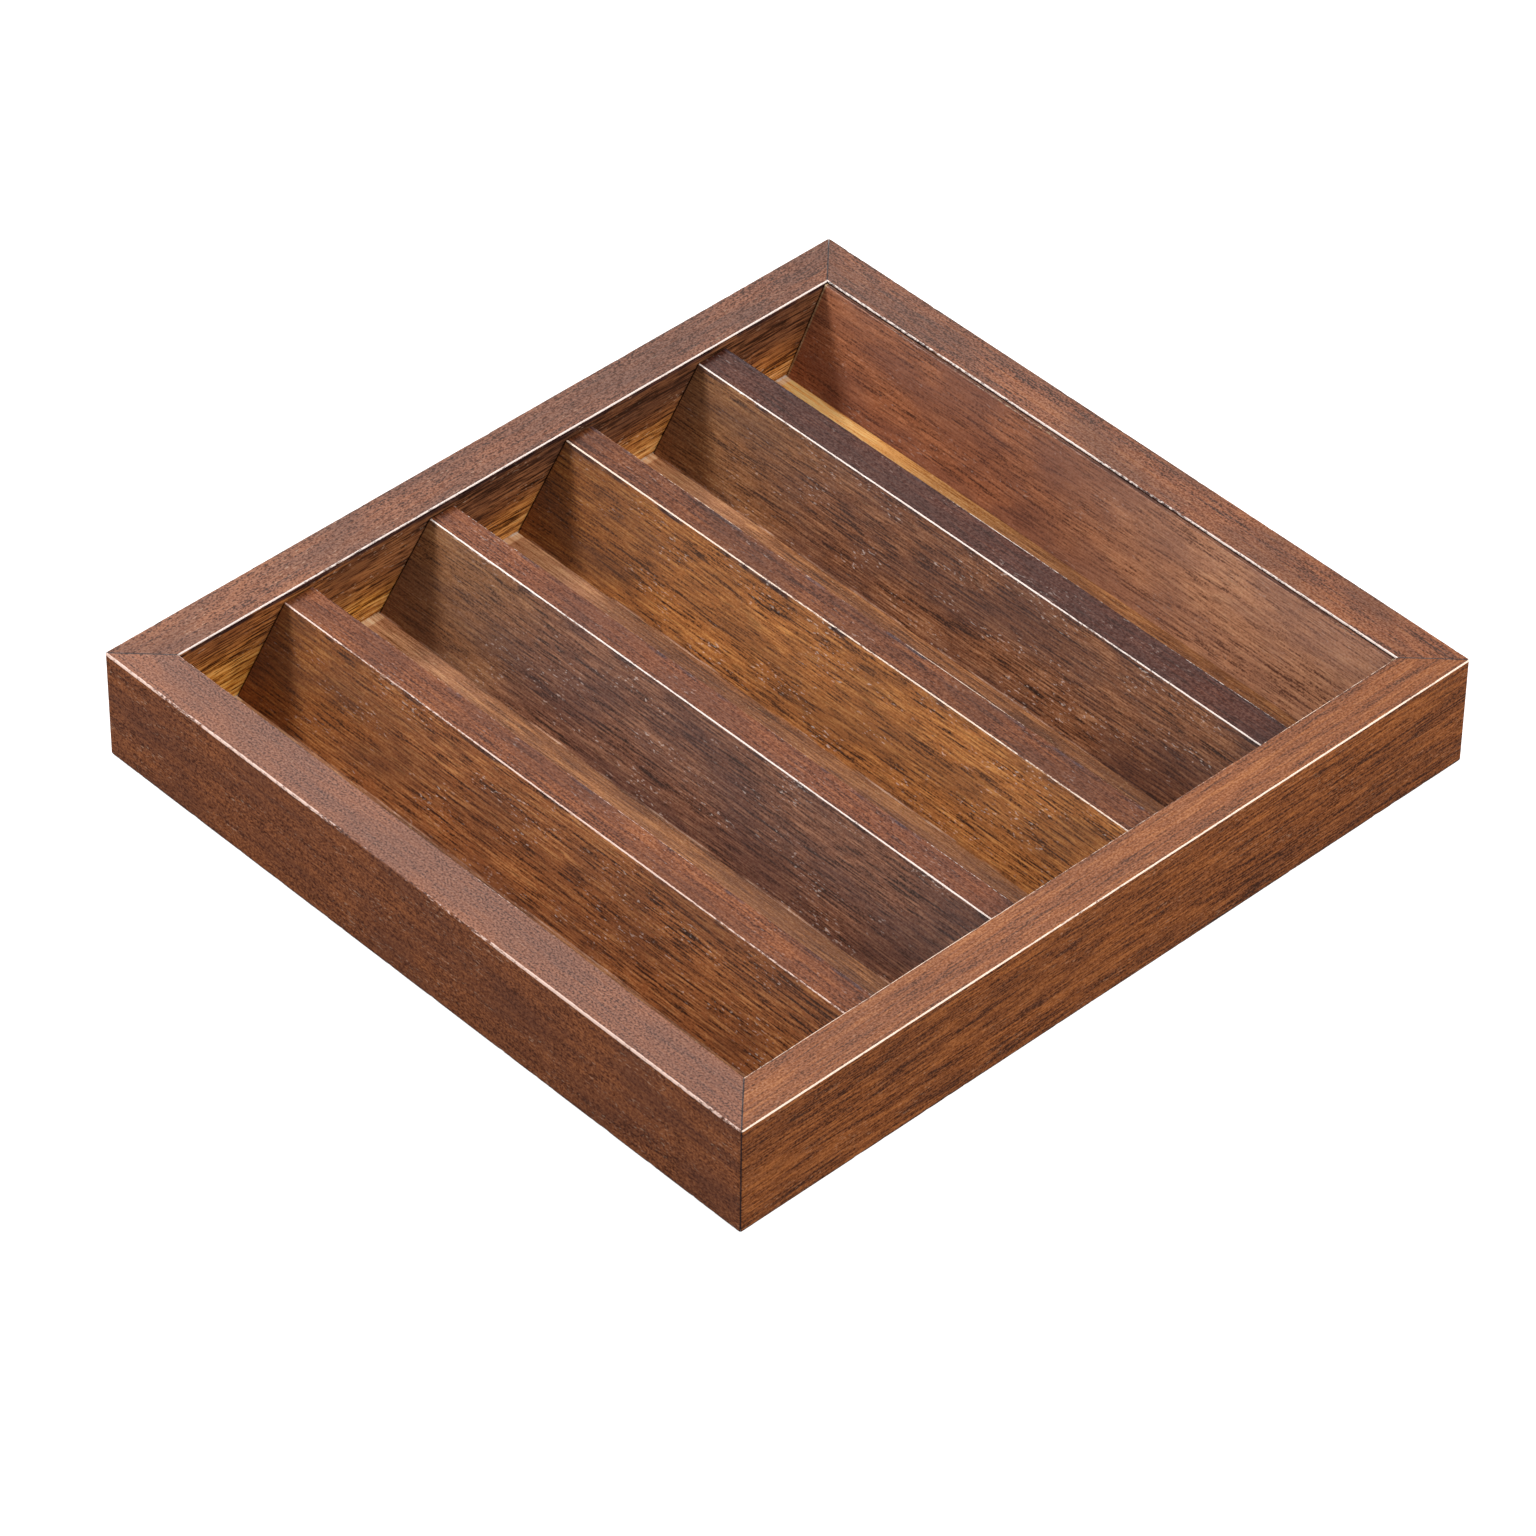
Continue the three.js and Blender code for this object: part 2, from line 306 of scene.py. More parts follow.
def wood_material(name, looks, seed, quarter_turns, side_lacquer, top_lacquer, worn_and_highlit_wood):
    """Stained wood with its grain along X, or along Y after one quarter turn, and its edges worn.
    Their pale colour is partly bare wood and partly a painted highlight. It has one look all over,
    and then others, among them painted light and painted shade, each with the rule for where it takes over."""
    material, tree, shader = new_material(name)
    where = add_node(tree, "ShaderNodeTexCoord").outputs["Object"]
    mapping = add_node(tree, "ShaderNodeMapping", {
        "Vector": where,
        "Rotation": (0, 0, -quarter_turns * math.pi / 2),
        "Scale": (1 / mm, 1 / mm, 1 / mm),
    })
    place = mapping.outputs[0]
    grain = add_node(tree, "ShaderNodeGroup", {"Place": place, "Seed": seed, **looks[0]}, node_tree=wood)
    for look, rule in looks[1:]:
        amount = rule(tree, where)
        for key, value in look.items():
            socket = grain.inputs[key]
            if isinstance(value, tuple):
                blend = add_node(tree, "ShaderNodeMix", {0: amount, 7: value}, data_type="RGBA")
                before, after = blend.inputs[6], blend.outputs[2]
            else:
                blend = add_node(tree, "ShaderNodeMix", {0: amount, 3: value}, data_type="FLOAT")
                before, after = blend.inputs[2], blend.outputs[0]
            if socket.is_linked:
                tree.links.new(socket.links[0].from_socket, before)
            else:
                before.default_value = socket.default_value
            tree.links.new(after, socket)
    # The pale edge colour, partly wear and partly a painted highlight
    wear = add_node(tree, "ShaderNodeAttribute", attribute_name="wear").outputs["Fac"]
    edge = add_node(tree, "ShaderNodeGroup", {
        "Place": place, "Colour": grain.outputs["Colour"], "Worn and highlight": worn_and_highlit_wood, "Wear": wear}, node_tree=worn_and_highlit)
    tree.links.new(edge.outputs["Colour"], shader.inputs["Base Color"])
    tree.links.new(grain.outputs["Roughness"], shader.inputs["Roughness"])
    rounded = add_node(tree, "ShaderNodeAttribute", attribute_name="edge").outputs["Fac"]
    flat = calculate(tree, "MULTIPLY_ADD", on_top(tree, where), top_lacquer - side_lacquer, side_lacquer)
    lacquer = calculate(tree, "MAXIMUM", rounded, calculate(tree, "MULTIPLY", flat, grain.outputs["Sheen"]))
    tree.links.new(lacquer, shader.inputs["Coat Weight"])
    shader.inputs["Coat Roughness"].default_value = 0.3
    shader.inputs["Specular IOR Level"].default_value = 0.0
    bump = add_node(tree, "ShaderNodeBump", {
        "Height": grain.outputs["Height"], "Distance": 0.06 * mm, "Strength": 0.8})
    tree.links.new(bump.outputs[0], shader.inputs["Normal"])
    return material


# The shape of one rail, made as the front rail lies, with its outer face at Y = 0, then turned
# about the middle of the case to its own side.
rail_inputs = {
    "Length": ("Float", 200 * mm),
    "Thickness": ("Float", 11.3 * mm),
    "Height": ("Float", 29 * mm),
    "Groove depth": ("Float", 4.0 * mm),
    "Groove bottom": ("Float", 3.0 * mm),
    "Groove top": ("Float", 8.5 * mm),
    "Outer ease": ("Float", 0.4 * mm),
    "Inner ease": ("Float", 0.3 * mm),
    "Bottom ease": ("Float", 0.9 * mm),
    "Corner ease": ("Float", 0.8 * mm),
    "Corner reach": ("Float", 4.0 * mm),
    "Glue setback": ("Float", 0.03 * mm),
    "Outer wear": ("Float", 0.5),
    "Inner wear": ("Float", 0.5),
    "Chips": ("Float", 0.14 * mm),
    "Face margin": ("Float", 0.4 * mm),
    "Seed": ("Float", 0.0),
    "Nail leg": ("Float", 5.15 * mm),
    "Nail slot": ("Float", 0.8 * mm),
    "Nail setback": ("Float", 4.2 * mm),
    "Nail top": ("Float", 12.55 * mm),
    "Distance": ("Float", 100 * mm),
    "Turn": ("Float", 0.0),
    "Material": ("Material", None),
}
rail_stations = 361
end_crowding = 0.92
ease_segments = 6
rails, given, result = start_tree("mitred_rail", "GeometryNodeTree", rail_inputs, {"Rail": "Geometry"})


def place_of(tree):
    """The X, Y and Z of each point."""
    return part_axes(tree, add_node(tree, "GeometryNodeInputPosition").outputs[0])


def put(tree, geometry, place):
    """The geometry with each point at its own new place."""
    return add_node(tree, "GeometryNodeSetPosition", {"Geometry": geometry, "Position": place}).outputs[0]


def crowded_spine(tree, count, half_length):
    """A straight line along X whose stations stand closer together towards its two ends."""
    line = add_node(tree, "GeometryNodeMeshLine", {"Count": count, "Offset": (0, 0, 0)})
    index = add_node(tree, "GeometryNodeInputIndex").outputs[0]
    along = calculate(tree, "MULTIPLY_ADD", index, 2 / (count - 1), -1)
    bent = calculate(tree, "SINE", calculate(tree, "MULTIPLY", along, math.pi / 2))
    even = calculate(tree, "MULTIPLY", along, 1 - end_crowding)
    mixed = calculate(tree, "MULTIPLY_ADD", bent, end_crowding, even)
    place = join_axes(tree, calculate(tree, "MULTIPLY", mixed, half_length), 0, 0)
    stations = put(tree, line.outputs[0], place)
    return add_node(tree, "GeometryNodeMeshToCurve", {"Mesh": stations}).outputs[0]


half_length = calculate(rails, "MULTIPLY", given["Length"], 0.5)
spine = crowded_spine(rails, rail_stations, half_length)


def outline_curve(tree, corners, segments, eases=None, wears_and_highlights=None):
    """A closed outline through the corners, each rounded to its own radius, with the radius and the
    wear of every point. The wear also sets how strongly a highlight is painted on the edge."""
    points = add_node(tree, "GeometryNodeMeshLine", {"Count": len(corners), "Offset": (0, 0, 0)})
    which = add_node(tree, "GeometryNodeInputIndex").outputs[0]
    plain = [0.0] * len(corners)
    picks = []
    for kind, items in (("VECTOR", corners), ("FLOAT", eases or plain), ("FLOAT", wears_and_highlights or plain)):
        switch = add_node(tree, "GeometryNodeIndexSwitch", data_type=kind)
        while len(switch.index_switch_items) < len(items):
            switch.index_switch_items.new()
        tree.links.new(which, switch.inputs["Index"])
        for number, item in enumerate(items):
            if isinstance(item, bpy.types.NodeSocket):
                tree.links.new(item, switch.inputs[number + 1])
            else:
                switch.inputs[number + 1].default_value = item
        picks.append(switch.outputs[0])
    curve = add_node(tree, "GeometryNodeMeshToCurve", {"Mesh": put(tree, points.outputs[0], picks[0])})
    closed = add_node(tree, "GeometryNodeSetSplineCyclic", {"Geometry": curve.outputs[0], "Cyclic": True})
    kept = add_node(tree, "GeometryNodeCaptureAttribute", domain="POINT")
    for title, value in (("Ease", picks[1]), ("Wear", picks[2])):
        kept.capture_items.new("FLOAT", title)
        tree.links.new(value, kept.inputs[title])
    tree.links.new(closed.outputs[0], kept.inputs["Geometry"])
    rounded = add_node(tree, "GeometryNodeFilletCurve", {
        "Curve": kept.outputs[0], "Radius": kept.outputs["Ease"], "Count": segments, "Limit Radius": True,
    }, mode="POLY")
    return rounded.outputs[0], kept.outputs["Ease"], kept.outputs["Wear"]


thick = given["Thickness"]
tall = given["Height"]
back = calculate(rails, "SUBTRACT", thick, given["Groove depth"])


def outline_corner(tree, y, z):
    """A corner of the outline, at a place in the rail's own Y and Z. The outline lies in the plane that
    the sweep turns upside down, so it is drawn upside down."""
    return join_axes(tree, calculate(tree, "MULTIPLY", y, -1), calculate(tree, "MULTIPLY", z, -1), 0)


def eased_corner(tree, y, z, ease, wear, before, after, guard=1.15):
    """An eased corner of the outline between two plain points on each of its faces, so that chips in
    the edge don't bend the shading of the faces. Each face is given by its direction from the corner."""
    near = calculate(tree, "MULTIPLY", ease, guard)
    far = calculate(tree, "ADD", near, given["Face margin"])
    points = []
    for direction, reach in ((before, far), (before, near), (None, None), (after, near), (after, far)):
        if direction is None:
            points.append((y, z, ease, wear))
        else:
            points.append((calculate(tree, "MULTIPLY_ADD", direction[0], reach, y),
                           calculate(tree, "MULTIPLY_ADD", direction[1], reach, z), 0.0, 0.0))
    return points


def section_outline(tree, corners):
    """The outline of a rail or a moulding, from the Y, the Z, the ease and the wear of its corners,
    where the wear also sets the painted highlight.
    """
    return outline_curve(tree, [outline_corner(tree, y, z) for y, z, _, _ in corners], ease_segments,
                         [ease for _, _, ease, _ in corners], [wear for _, _, _, wear in corners])


def sweep(tree, path, outline):
    """The solid that an outline leaves on its way along a path."""
    return add_node(tree, "GeometryNodeCurveToMesh", {
        "Curve": path, "Profile Curve": outline, "Fill Caps": True}).outputs[0]


rail_corners = [
    *eased_corner(rails, 0.0, 0.0, given["Bottom ease"], 0.0, (1.0, 0.0), (0.0, 1.0)),
    *eased_corner(rails, 0.0, tall, given["Outer ease"], given["Outer wear"], (0.0, -1.0), (1.0, 0.0)),
    *eased_corner(rails, thick, tall, given["Inner ease"], given["Inner wear"], (-1.0, 0.0), (0.0, -1.0)),
    (thick, given["Groove top"], 0.0, 0.0),
    (back, given["Groove top"], 0.0, 0.0),
    (back, given["Groove bottom"], 0.0, 0.0),
    (thick, given["Groove bottom"], 0.0, 0.0),
    *eased_corner(rails, thick, 0.0, given["Bottom ease"], 0.0, (0.0, 1.0), (-1.0, 0.0)),
]
rail_outline, rounding, rubbing_and_highlight = section_outline(rails, rail_corners)

# The mitres: each station moves towards the middle by its own share of the distance from the outer face.
x, y, z = place_of(rails)
share = calculate(rails, "DIVIDE", x, half_length)
inset = calculate(rails, "ADD", y, given["Glue setback"])
mitred = put(rails, sweep(rails, spine, rail_outline), join_axes(
    rails, calculate(rails, "SUBTRACT", x, calculate(rails, "MULTIPLY", share, inset)), y, z))

# The outer corner is sanded round: over the last stretch the wood draws back along the mitre, the
# most at the outer face, so that the two faces that meet there follow one arc.
x, y, z = place_of(rails)
radius = given["Corner ease"]
from_end = calculate(rails, "SUBTRACT", half_length, calculate(rails, "ABSOLUTE", x))
into_arc = calculate(rails, "MAXIMUM", calculate(rails, "SUBTRACT", radius, from_end), 0.0)
both = calculate(rails, "ADD", into_arc, radius)
squared = calculate(rails, "SUBTRACT", calculate(rails, "MULTIPLY", both, both),
                    calculate(rails, "MULTIPLY", calculate(rails, "MULTIPLY", into_arc, into_arc), 2))
fall = calculate(rails, "MULTIPLY", calculate(
    rails, "SUBTRACT", both, calculate(rails, "SQRT", calculate(rails, "MAXIMUM", squared, 0.0))), 0.5)
outerness = calculate(rails, "MAXIMUM", calculate(
    rails, "SUBTRACT", 1, calculate(rails, "DIVIDE", y, given["Corner reach"])), 0.0)
drawn = calculate(rails, "MULTIPLY", fall, outerness)
towards_end = calculate(rails, "SIGN", x)
cornered = put(rails, mitred, join_axes(
    rails, calculate(rails, "SUBTRACT", x, calculate(rails, "MULTIPLY", towards_end, drawn)),
    calculate(rails, "ADD", y, drawn), z))


def mark_points(tree, geometry, values):
    """Keeps the given values on every point, under their names."""
    for title, value in values.items():
        marks = add_node(tree, "GeometryNodeStoreNamedAttribute", data_type="FLOAT", domain="POINT", inputs={
            "Geometry": geometry, "Name": title, "Value": value})
        geometry = marks.outputs[0]
    return geometry


# What the wood's look and the chips need to know of each point
is_long_edge = calculate(rails, "GREATER_THAN", rounding, 0.0)
gloss = calculate(rails, "MULTIPLY", is_long_edge, spread(rails, rubbing_and_highlight, 0.4, 0.85))
is_inside = calculate(rails, "GREATER_THAN", y, calculate(
    rails, "MULTIPLY_ADD", given["Inner ease"], -0.75, thick))
marked = mark_points(rails, cornered, {
    "edge": gloss, "wear": rubbing_and_highlight, "inside": is_inside, "chipping": is_long_edge})

# The saw slots for the V-nails, an L in plan at each end, cut up from underneath.
inner = calculate(rails, "MULTIPLY_ADD", given["Nail slot"], 0.5, given["Nail setback"])
outer = calculate(rails, "MULTIPLY_ADD", given["Nail slot"], -0.5, given["Nail setback"])
tip = calculate(rails, "ADD", given["Nail setback"], given["Nail leg"])
slot_corners = [
    join_axes(rails, outer, outer, 0), join_axes(rails, tip, outer, 0), join_axes(rails, tip, inner, 0),
    join_axes(rails, inner, inner, 0), join_axes(rails, inner, tip, 0), join_axes(rails, outer, tip, 0),
]
slot_outline, _, _ = outline_curve(rails, slot_corners, 1)
slot_rise = add_node(rails, "GeometryNodeCurvePrimitiveLine", {
    "Start": (0, 0, -1 * mm), "End": join_axes(rails, 0, 0, given["Nail top"])})
slot = sweep(rails, slot_rise.outputs[0], slot_outline)
cutters = []
for side in (-1, 1):
    cutters.append(add_node(rails, "GeometryNodeTransform", {
        "Geometry": slot,
        "Translation": join_axes(rails, calculate(rails, "MULTIPLY", half_length, side), 0, 0),
        "Rotation": (0, 0, math.pi / 4 * (1 + side)),
    }).outputs[0])


def cut_out(tree, geometry, cutters):
    """The geometry less the cutters."""
    cut = add_node(tree, "GeometryNodeMeshBoolean", {"Mesh 1": geometry},
                   operation="DIFFERENCE", solver="EXACT")
    for cutter in cutters:
        tree.links.new(cutter, cut.inputs["Mesh 2"])
    return cut.outputs[0]


def chip_depth(tree, lump):
    """How deep the chips knocked into the eased edges are at each point."""
    spot = calculate_vector(tree, "ADD", add_node(tree, "GeometryNodeInputPosition").outputs[0],
                            join_axes(tree, given["Seed"], 0.0, 0.0))
    knocks = spread(tree, noise(tree, spot, (lump, 1.4 * mm, 1.4 * mm), 4, 0.65), 0.5, 0.72)
    chipping = add_node(tree, "GeometryNodeInputNamedAttribute", {"Name": "chipping"}, data_type="FLOAT")
    where_chipped = calculate(tree, "MULTIPLY", knocks, chipping.outputs[0])
    return calculate(tree, "MULTIPLY", where_chipped, given["Chips"])


def sink(tree, geometry, outward, depth):
    """Moves every point inwards by its own depth. It comes after the cuts, when all faces look outwards."""
    inwards = calculate(tree, "MULTIPLY", depth, -1)
    step = add_node(tree, "ShaderNodeVectorMath", {0: outward, "Scale": inwards}, operation="SCALE")
    sunken = add_node(tree, "GeometryNodeSetPosition", {"Geometry": geometry, "Offset": step.outputs[0]})
    return sunken.outputs[0]


sharp_angle = math.radians(38)


def smooth_over(tree, geometry):
    """Smooth shading over the rounded edges, and sharp shading where two flat faces meet."""
    all_smooth = add_node(tree, "GeometryNodeSetShadeSmooth", {"Geometry": geometry, "Shade Smooth": True})
    angle = add_node(tree, "GeometryNodeInputMeshEdgeAngle").outputs["Unsigned Angle"]
    return add_node(tree, "GeometryNodeSetShadeSmooth", {
        "Geometry": all_smooth.outputs[0],
        "Selection": calculate(tree, "GREATER_THAN", angle, sharp_angle),
        "Shade Smooth": False,
    }, domain="EDGE").outputs[0]


def finish_tree(tree, geometry, output):
    """Ends a shape's tree with one plain mesh in the given material."""
    whole = add_node(tree, "GeometryNodeRealizeInstances", {"Geometry": geometry})
    dressed = add_node(tree, "GeometryNodeSetMaterial", {
        "Geometry": whole.outputs[0], "Material": given["Material"]})
    tree.links.new(dressed.outputs[0], output)


normal = add_node(rails, "GeometryNodeInputNormal").outputs[0]
chipped = sink(rails, cut_out(rails, marked, cutters), normal, chip_depth(rails, 3.2 * mm))
moved = add_node(rails, "GeometryNodeTransform", {
    "Geometry": smooth_over(rails, chipped),
    "Translation": join_axes(rails, 0, calculate(rails, "MULTIPLY", given["Distance"], -1), 0)})
swung = add_node(rails, "GeometryNodeTransform", {
    "Geometry": moved.outputs[0], "Rotation": join_axes(rails, 0, 0, given["Turn"])})
finish_tree(rails, swung.outputs[0], result["Rail"])


case_length = cad_high.x - cad_low.x
case_width = cad_high.y - cad_low.y
case_height = cad_high.z - cad_low.z
rail_thickness = 11.3 * mm
floor_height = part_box("base_panel")[1].z
panel_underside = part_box("base_panel")[0].z
groove_clearance = 0.25 * mm
glue_line = 0.04 * mm

rail_looks = {
    "front_rail": {
        **stain((66, 32, 16), (122, 68, 38), (156, 92, 50), (88, 50, 36)), "Glint": from_srgb(226, 190, 160),
        "Bands": 0.2, "Streaks": 0.2, "Fibres": 0.3, "Speckle": 0.7, "Blotches": 0.45,
        "Pores": 0.12, "Glints": 0.3},
    "right_rail": {
        **stain((50, 24, 10), (115, 62, 27), (152, 90, 44), (78, 44, 26)), "Glint": from_srgb(206, 160, 126),
        "Bands": 0.3, "Streaks": 0.15, "Fibres": 0.6, "Speckle": 0.45, "Blotches": 0.2,
        "Pores": 0.4, "Glints": 0.25},
    "back_rail": {
        **stain((60, 32, 16), (118, 66, 38), (156, 96, 56), (80, 48, 34)), "Glint": from_srgb(206, 160, 126),
        "Bands": 0.4, "Streaks": 0.4, "Fibres": 0.5, "Speckle": 0.3, "Blotches": 0.5,
        "Pores": 0.4, "Glints": 0.2},
    "left_rail": {
        **stain((62, 32, 16), (116, 66, 38), (156, 96, 56), (82, 48, 36)), "Glint": from_srgb(226, 190, 160),
        "Bands": 0.25, "Streaks": 0.3, "Fibres": 0.4, "Speckle": 0.5, "Blotches": 0.6,
        "Pores": 0.3, "Glints": 0.3},
}
rail_tops = {
    "front_rail": {"Speckle": 0.8, "Fibres": 0.3, "Streaks": 0.15, "Pores": 0.05, "Blotches": 0.4,
                   "Middle": from_srgb(133, 73, 40), "Glints": 0.12},
    "right_rail": {"Speckle": 0.45, "Fibres": 0.35, "Streaks": 0.25, "Pores": 0.05, "Blotches": 0.15,
                   **stain((80, 44, 24), (138, 77, 38), (176, 110, 60))},
    "back_rail": {"Speckle": 0.6, "Fibres": 0.45, "Streaks": 0.25, "Pores": 0.1, "Blotches": 0.5,
                  "Middle": from_srgb(126, 68, 36)},
    "left_rail": {"Speckle": 0.8, "Fibres": 0.35, "Streaks": 0.2, "Pores": 0.1, "Blotches": 0.5,
                  "Middle": from_srgb(132, 74, 42)},
}
# Painted shade: the left rail's top darker towards the back
far_top_shade = stain((58, 30, 14), (112, 58, 28), (140, 82, 46), (74, 42, 28))
# For each rail: the ease and the wear of its outer edge, those of its inner edge, and its bare wood.
# The wear and the bare wood's pale colour also make a painted highlight on those edges.
rail_edges = {
    "front_rail": (0.42 * mm, 0.55, 0.2 * mm, 0.22, worn_and_highlit_pink),
    "right_rail": (0.25 * mm, 1.0, 0.26 * mm, 0.58, worn_and_highlit_cream),
    "back_rail": (0.3 * mm, 0.05, 0.32 * mm, 0.68, worn_and_highlit_white),
    "left_rail": (0.3 * mm, 0.05, 0.27 * mm, 1.0, worn_and_highlit_white),
}
# For each rail: its length, the distance of its outer face from the middle, and the lacquer on its top
rail_sides = (
    ("front_rail", case_length, case_width / 2, 0.85),
    ("right_rail", case_width, case_length / 2, 0.6),
    ("back_rail", case_length, case_width / 2, 0.66),
    ("left_rail", case_width, case_length / 2, 0.68),
)
# The rails' inner faces: their own grain, in a colour lighter and more golden than the outer faces, partly
# painted light bounced inside the case
inner_bounce_lit_look = {
    **stain((48, 25, 12), (150, 90, 46), (192, 124, 66), (104, 62, 40)),
    "Fibres": 0.8, "Streaks": 0.6, "Pores": 0.8, "Speckle": 0.15}
# Painted shade just under the inner top edge
shade_under_edge = stain((30, 18, 16), (62, 40, 36), (96, 62, 52), (46, 30, 28))
# Painted light: amber on the lower inner faces, where light bounces from the floor
bounce_light_amber = {
    **stain((70, 34, 8), (214, 143, 53), (246, 194, 104), (150, 88, 34)),
    "Glint": from_srgb(255, 226, 176), "Glints": 0.4}
# Painted shade on the upper inner faces, growing towards the back
upper_inside_shade = stain((42, 24, 14), (108, 67, 44), (142, 93, 60), (78, 50, 38))
# Painted light along the foot of the inner faces
foot_painted_light = stain((124, 76, 36), (228, 158, 86), (250, 202, 132), (176, 116, 62))
mitre_look = {**stain((26, 16, 14), (50, 32, 30), (76, 50, 46), (40, 26, 26)), "Glints": 0.0}
mitre_line = 0.3 * mm
# Painted shade along the foot of the outer faces, where the eased bottom edge turns to the floor
foot_shade = {**stain((32, 18, 14), (66, 39, 30), (96, 58, 42), (52, 32, 28)), "Glints": 0.0}
foot_line = 1.0 * mm
# How high the painted bounce light reaches: full below the first height, none above the second
amber_low = 15 * mm
amber_high = 29 * mm
amber_loss = 0.2
amber_drop = 7 * mm
foot_light_height = 4.4 * mm
foot_light_strength = 0.55
under_arris_depth = 1.6 * mm


def on_inner_face(tree, where):
    """1 on a rail's inner face."""
    return add_node(tree, "ShaderNodeAttribute", attribute_name="inside").outputs["Fac"]


towards_back = rising(1, -95 * mm, -10 * mm)


def bounce_lit_low_inside(tree, where):
    """1 low down on a rail's inner face, where painted light bounced from the floor goes, and 0 under its
    top edge. Towards the back of the case it stays lower and weaker."""
    uneven = noise(tree, where, (26 * mm, 26 * mm, 4 * mm), 2, 0.5)
    backness = towards_back(tree, where)
    height = calculate(tree, "MULTIPLY_ADD", uneven, 8 * mm, part_axes(tree, where)[2])
    height = calculate(tree, "MULTIPLY_ADD", backness, amber_drop, height)
    lowness = calculate(tree, "SUBTRACT", 1, spread(tree, height, amber_low, amber_high))
    lowness = calculate(tree, "MULTIPLY", lowness, calculate(tree, "MULTIPLY_ADD", backness, -amber_loss, 1))
    return calculate(tree, "MULTIPLY", on_inner_face(tree, where), lowness)


def foot_light_share(tree, where):
    """The share of painted light along the foot of a rail's inner face, growing towards the back."""
    return calculate(tree, "MULTIPLY", towards_back(tree, where), foot_light_strength)


# Painted shade high on the inner faces towards the back
shaded_high_inside = together(on_inner_face, rising(2, 14.5 * mm, 22 * mm), towards_back)
foot_strip = uneven_strip(2, floor_height, foot_light_height, breaks=(0, 0))
lit_foot_inside = together(on_inner_face, foot_strip, foot_light_share)
# Painted shade under the inner top edge
arris_strip = uneven_strip(2, case_height, -under_arris_depth, stretch=7 * mm, breaks=(0.3, 0.5))
shaded_under_arris = together(on_inner_face, arris_strip)
# Where the painted shade darkens the left rail's top
shaded_far_top = together(on_top, rising(1, -75 * mm, 5 * mm))
shaded_low_outside = uneven_strip(2, 0.0, foot_line, breaks=(0, 0))


def beside_mitre(tree, where):
    """1 in the thin dark line of glue and stain along each mitre, and down the corner below it."""
    x, y, _ = part_axes(tree, where)
    from_side = calculate(tree, "SUBTRACT", case_length / 2, calculate(tree, "ABSOLUTE", x))
    from_front = calculate(tree, "SUBTRACT", case_width / 2, calculate(tree, "ABSOLUTE", y))
    apart = calculate(tree, "ABSOLUTE", calculate(tree, "SUBTRACT", from_side, from_front))
    return spread(tree, apart, mitre_line, 0.6 * mitre_line)


for turns, (name, length, distance, lacquer) in enumerate(rail_sides):
    outer_ease, outer_wear_and_highlight, inner_ease, inner_wear_and_highlight, worn_and_highlit_wood = rail_edges[name]
    looks = [rail_looks[name], (inner_bounce_lit_look, on_inner_face), (bounce_light_amber, bounce_lit_low_inside), (upper_inside_shade, shaded_high_inside),
             (foot_painted_light, lit_foot_inside), (shade_under_edge, shaded_under_arris), (rail_tops[name], on_top)]
    if name == "left_rail":
        looks.append((far_top_shade, shaded_far_top))
    looks += [(foot_shade, shaded_low_outside), (mitre_look, beside_mitre)]
    finish = wood_material(f"{name}_wood", looks, seed=turns + 1.0, quarter_turns=turns,
                           side_lacquer=0.12, top_lacquer=lacquer, worn_and_highlit_wood=worn_and_highlit_wood)
    piece = make_piece(f"{name}_finished", rails, {
        "Length": length,
        "Thickness": rail_thickness,
        "Height": case_height,
        "Groove bottom": panel_underside - groove_clearance,
        "Groove top": floor_height + groove_clearance,
        "Outer ease": outer_ease,
        "Inner ease": inner_ease,
        "Outer wear": outer_wear_and_highlight,
        "Inner wear": inner_wear_and_highlight,
        "Glue setback": glue_line / 2 / math.cos(math.pi / 4),
        "Seed": turns * 0.37,
        "Distance": distance,
        "Turn": turns * math.pi / 2,
        "Material": finish,
    })
    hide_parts(name)
    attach(piece, "root")


# Base panel
# A thin board of the same wood, grain along X, slid into the rails' grooves before the frame was
# glued up. Only narrow strips of it show between the dividers. Light is painted on them near the
# left rail and towards the back, with a painted highlight in the corner at the left rail.
panel_look = {
    **stain((80, 46, 24), (136, 84, 48), (180, 122, 74), (100, 62, 42)), "Glint": from_srgb(230, 190, 140),
    "Bands": 0.4, "Streaks": 0.4, "Fibres": 0.5, "Speckle": 0.25, "Blotches": 0.4,
    "Pores": 0.4, "Glints": 0.3}
# Painted light on the strips near the left rail
panel_lit_left = stain((130, 80, 46), (198, 138, 98), (234, 180, 130), (150, 98, 66))


def near_left(full, none):
    """A rule that is 1 left of the first place along X, and fades unevenly to 0 at the second."""
    def rule(tree, where):
        uneven = noise(tree, where, (20 * mm, 8 * mm, 8 * mm), 2, 0.5)
        along = calculate(tree, "MULTIPLY_ADD", uneven, 30 * mm, part_axes(tree, where)[0])
        return calculate(tree, "SUBTRACT", 1, spread(tree, along, full + 15 * mm, none + 15 * mm))
    return rule


lit_left_third = near_left(-89 * mm, -39 * mm)
# Painted light, golden, on the strips towards the back left
panel_lit_gold = stain((196, 116, 44), (255, 190, 106), (255, 222, 150), (222, 150, 76))
lit_back_left = together(near_left(-100 * mm, 10 * mm), rising(1, 42 * mm, 64 * mm))
# A painted highlight on the lacquer gathered in the corner at the left rail
fillet_highlight = stain((200, 160, 120), (246, 220, 190), (255, 244, 232))
